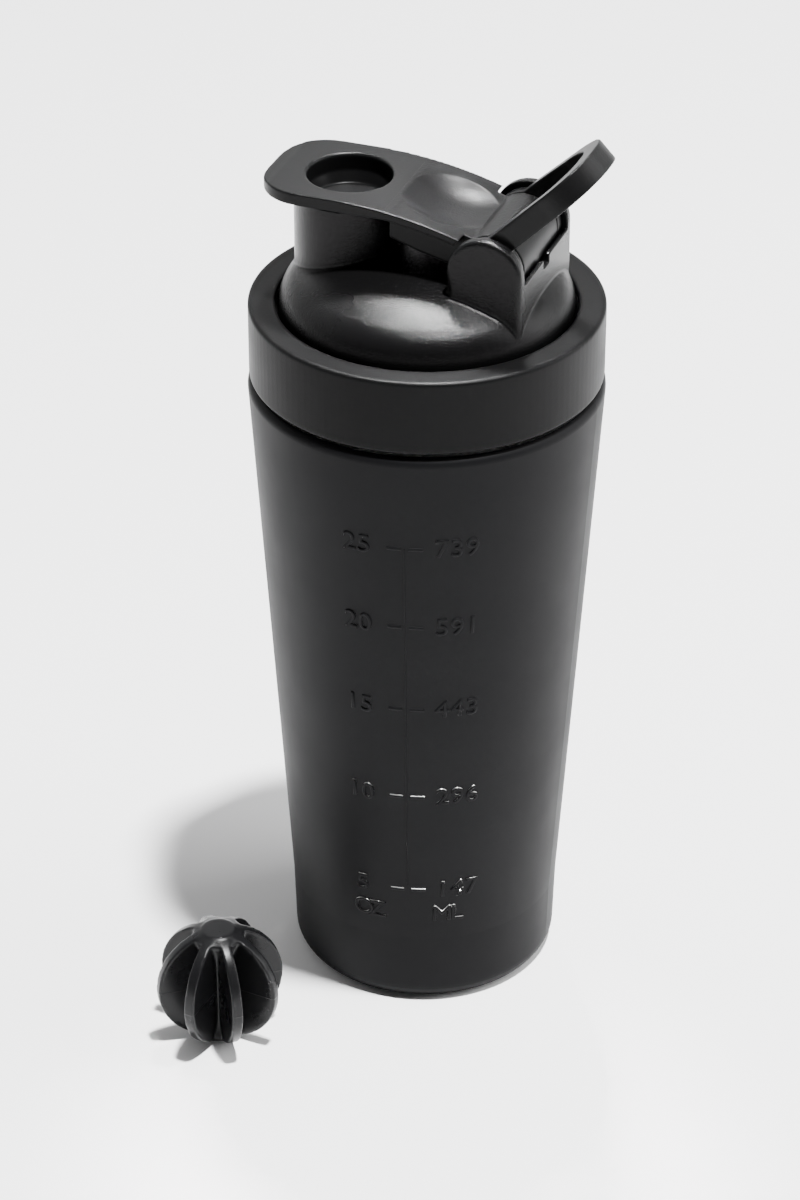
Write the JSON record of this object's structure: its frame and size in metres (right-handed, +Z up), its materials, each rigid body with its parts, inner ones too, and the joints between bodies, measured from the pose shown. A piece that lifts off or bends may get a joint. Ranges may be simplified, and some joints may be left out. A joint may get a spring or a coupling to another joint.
{
  "type": "protein shaker bottle",
  "caption": "Tapered steel shaker cup with screw collar, spouted dome lid, flip cap, swinging carry loop and a loose ribbed mixing ball.",
  "frame": {"origin": "centre of the cup's base, on the surface that it stands on", "axes": "+Z up along the bottle's axis, -X toward the spout, +X toward the hinge, +Y toward the side away from the volume scale"},
  "size_m": [0.1012, 0.1292, 0.2498],
  "materials": {
    "coated_steel": "fine-textured matte black powder coat on steel",
    "collar_plastic": "satin black moulded polypropylene",
    "lid_plastic": "black moulded polypropylene with a fine spark texture",
    "cap_plastic": "satin black moulded polypropylene, textured thumb scoop",
    "loop_plastic": "satin black moulded polypropylene",
    "ball_plastic": "matte black moulded plastic",
    "seal_rubber": "soft matte black elastomer",
    "pin_steel": "drawn stainless wire"
  },
  "bodies": {
    "cup": {"cup": "coated_steel"},
    "lid": {"lid_insert": "lid_plastic", "lid_gasket": "seal_rubber", "hinge_pin": "pin_steel"},
    "collar": {"lid_collar": "collar_plastic"},
    "cap": {"flip_cap": "cap_plastic", "plug_seal": "seal_rubber"},
    "loop": {"carry_loop": "loop_plastic"},
    "ball": {"mixing_ball": "ball_plastic"}
  },
  "joints": [
    {"name": "lid_rise", "type": "slide", "parent": "cup", "child": "lid", "axis": [0, 0, 1], "range_m": [0, 0.0201]},
    {"name": "collar_turn", "type": "hinge", "parent": "lid", "child": "collar", "pos_m": [0, 0, 0.19], "axis": [0, 0, 1], "range_deg": [0, 720]},
    {"name": "cap_flip", "type": "hinge", "parent": "lid", "child": "cap", "pos_m": [0.022, 0, 0.2192], "axis": [0, 1, 0], "range_deg": [0, 48]},
    {"name": "loop_swing", "type": "hinge", "parent": "lid", "child": "loop", "pos_m": [0.022, 0, 0.2192], "axis": [0, 1, 0], "range_deg": [0, 48]},
    {"name": "ball_lift", "type": "slide", "parent": "cup", "child": "ball", "axis": [0, 0, 1], "range_m": [0, 0.25]}
  ],
  "couplings": [
    {"joint": "lid_rise", "follows": "collar_turn", "m_per_rad": 0.0015915}
  ]
}
